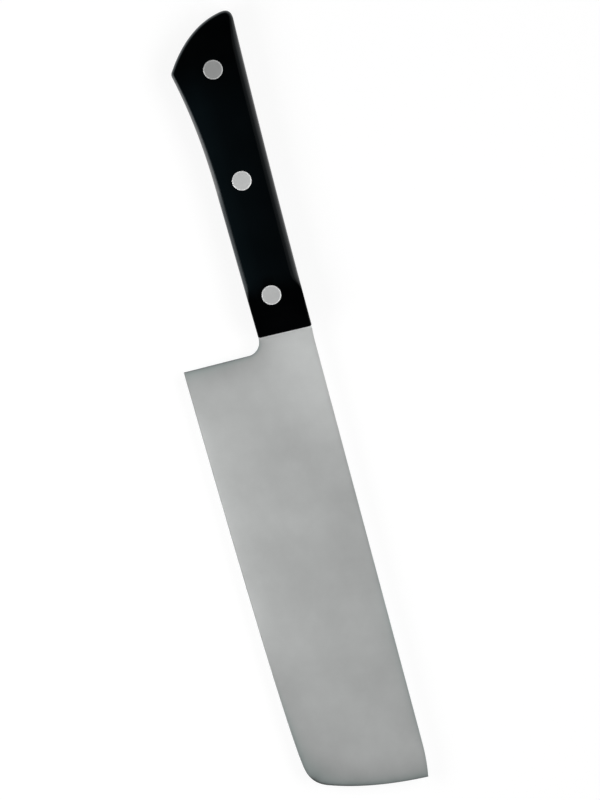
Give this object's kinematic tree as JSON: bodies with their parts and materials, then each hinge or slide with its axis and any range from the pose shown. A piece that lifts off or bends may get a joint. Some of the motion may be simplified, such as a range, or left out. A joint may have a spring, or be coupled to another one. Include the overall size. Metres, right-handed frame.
{
  "type": "kitchen knife",
  "caption": "Straight-spined vegetable knife: tall satin steel blade with a rounded toe, full tang and black moulded handle scales held by flush rivets.",
  "frame": {"origin": "middle of the knife's outline, on the plane that the left scale's outer face lies on", "axes": "+X towards the blade's tip, +Y from the cutting edge towards the spine, +Z out of the blade's right side, up when the knife lies on its left scale"},
  "size_m": [0.2894, 0.0508, 0.015],
  "materials": {
    "blade_steel": "fine satin, ground along the blade's height",
    "scale_plastic": "black, satin moulded",
    "rivet_steel": "ground flush, finely scratched"
  },
  "bodies": {
    "root": {"blade": "blade_steel", "right_scale": "scale_plastic", "left_scale": "scale_plastic", "front_rivet_tube": "rivet_steel", "front_rivet_pin": "rivet_steel", "middle_rivet_tube": "rivet_steel", "middle_rivet_pin": "rivet_steel", "rear_rivet_tube": "rivet_steel", "rear_rivet_pin": "rivet_steel"}
  },
  "joints": []
}
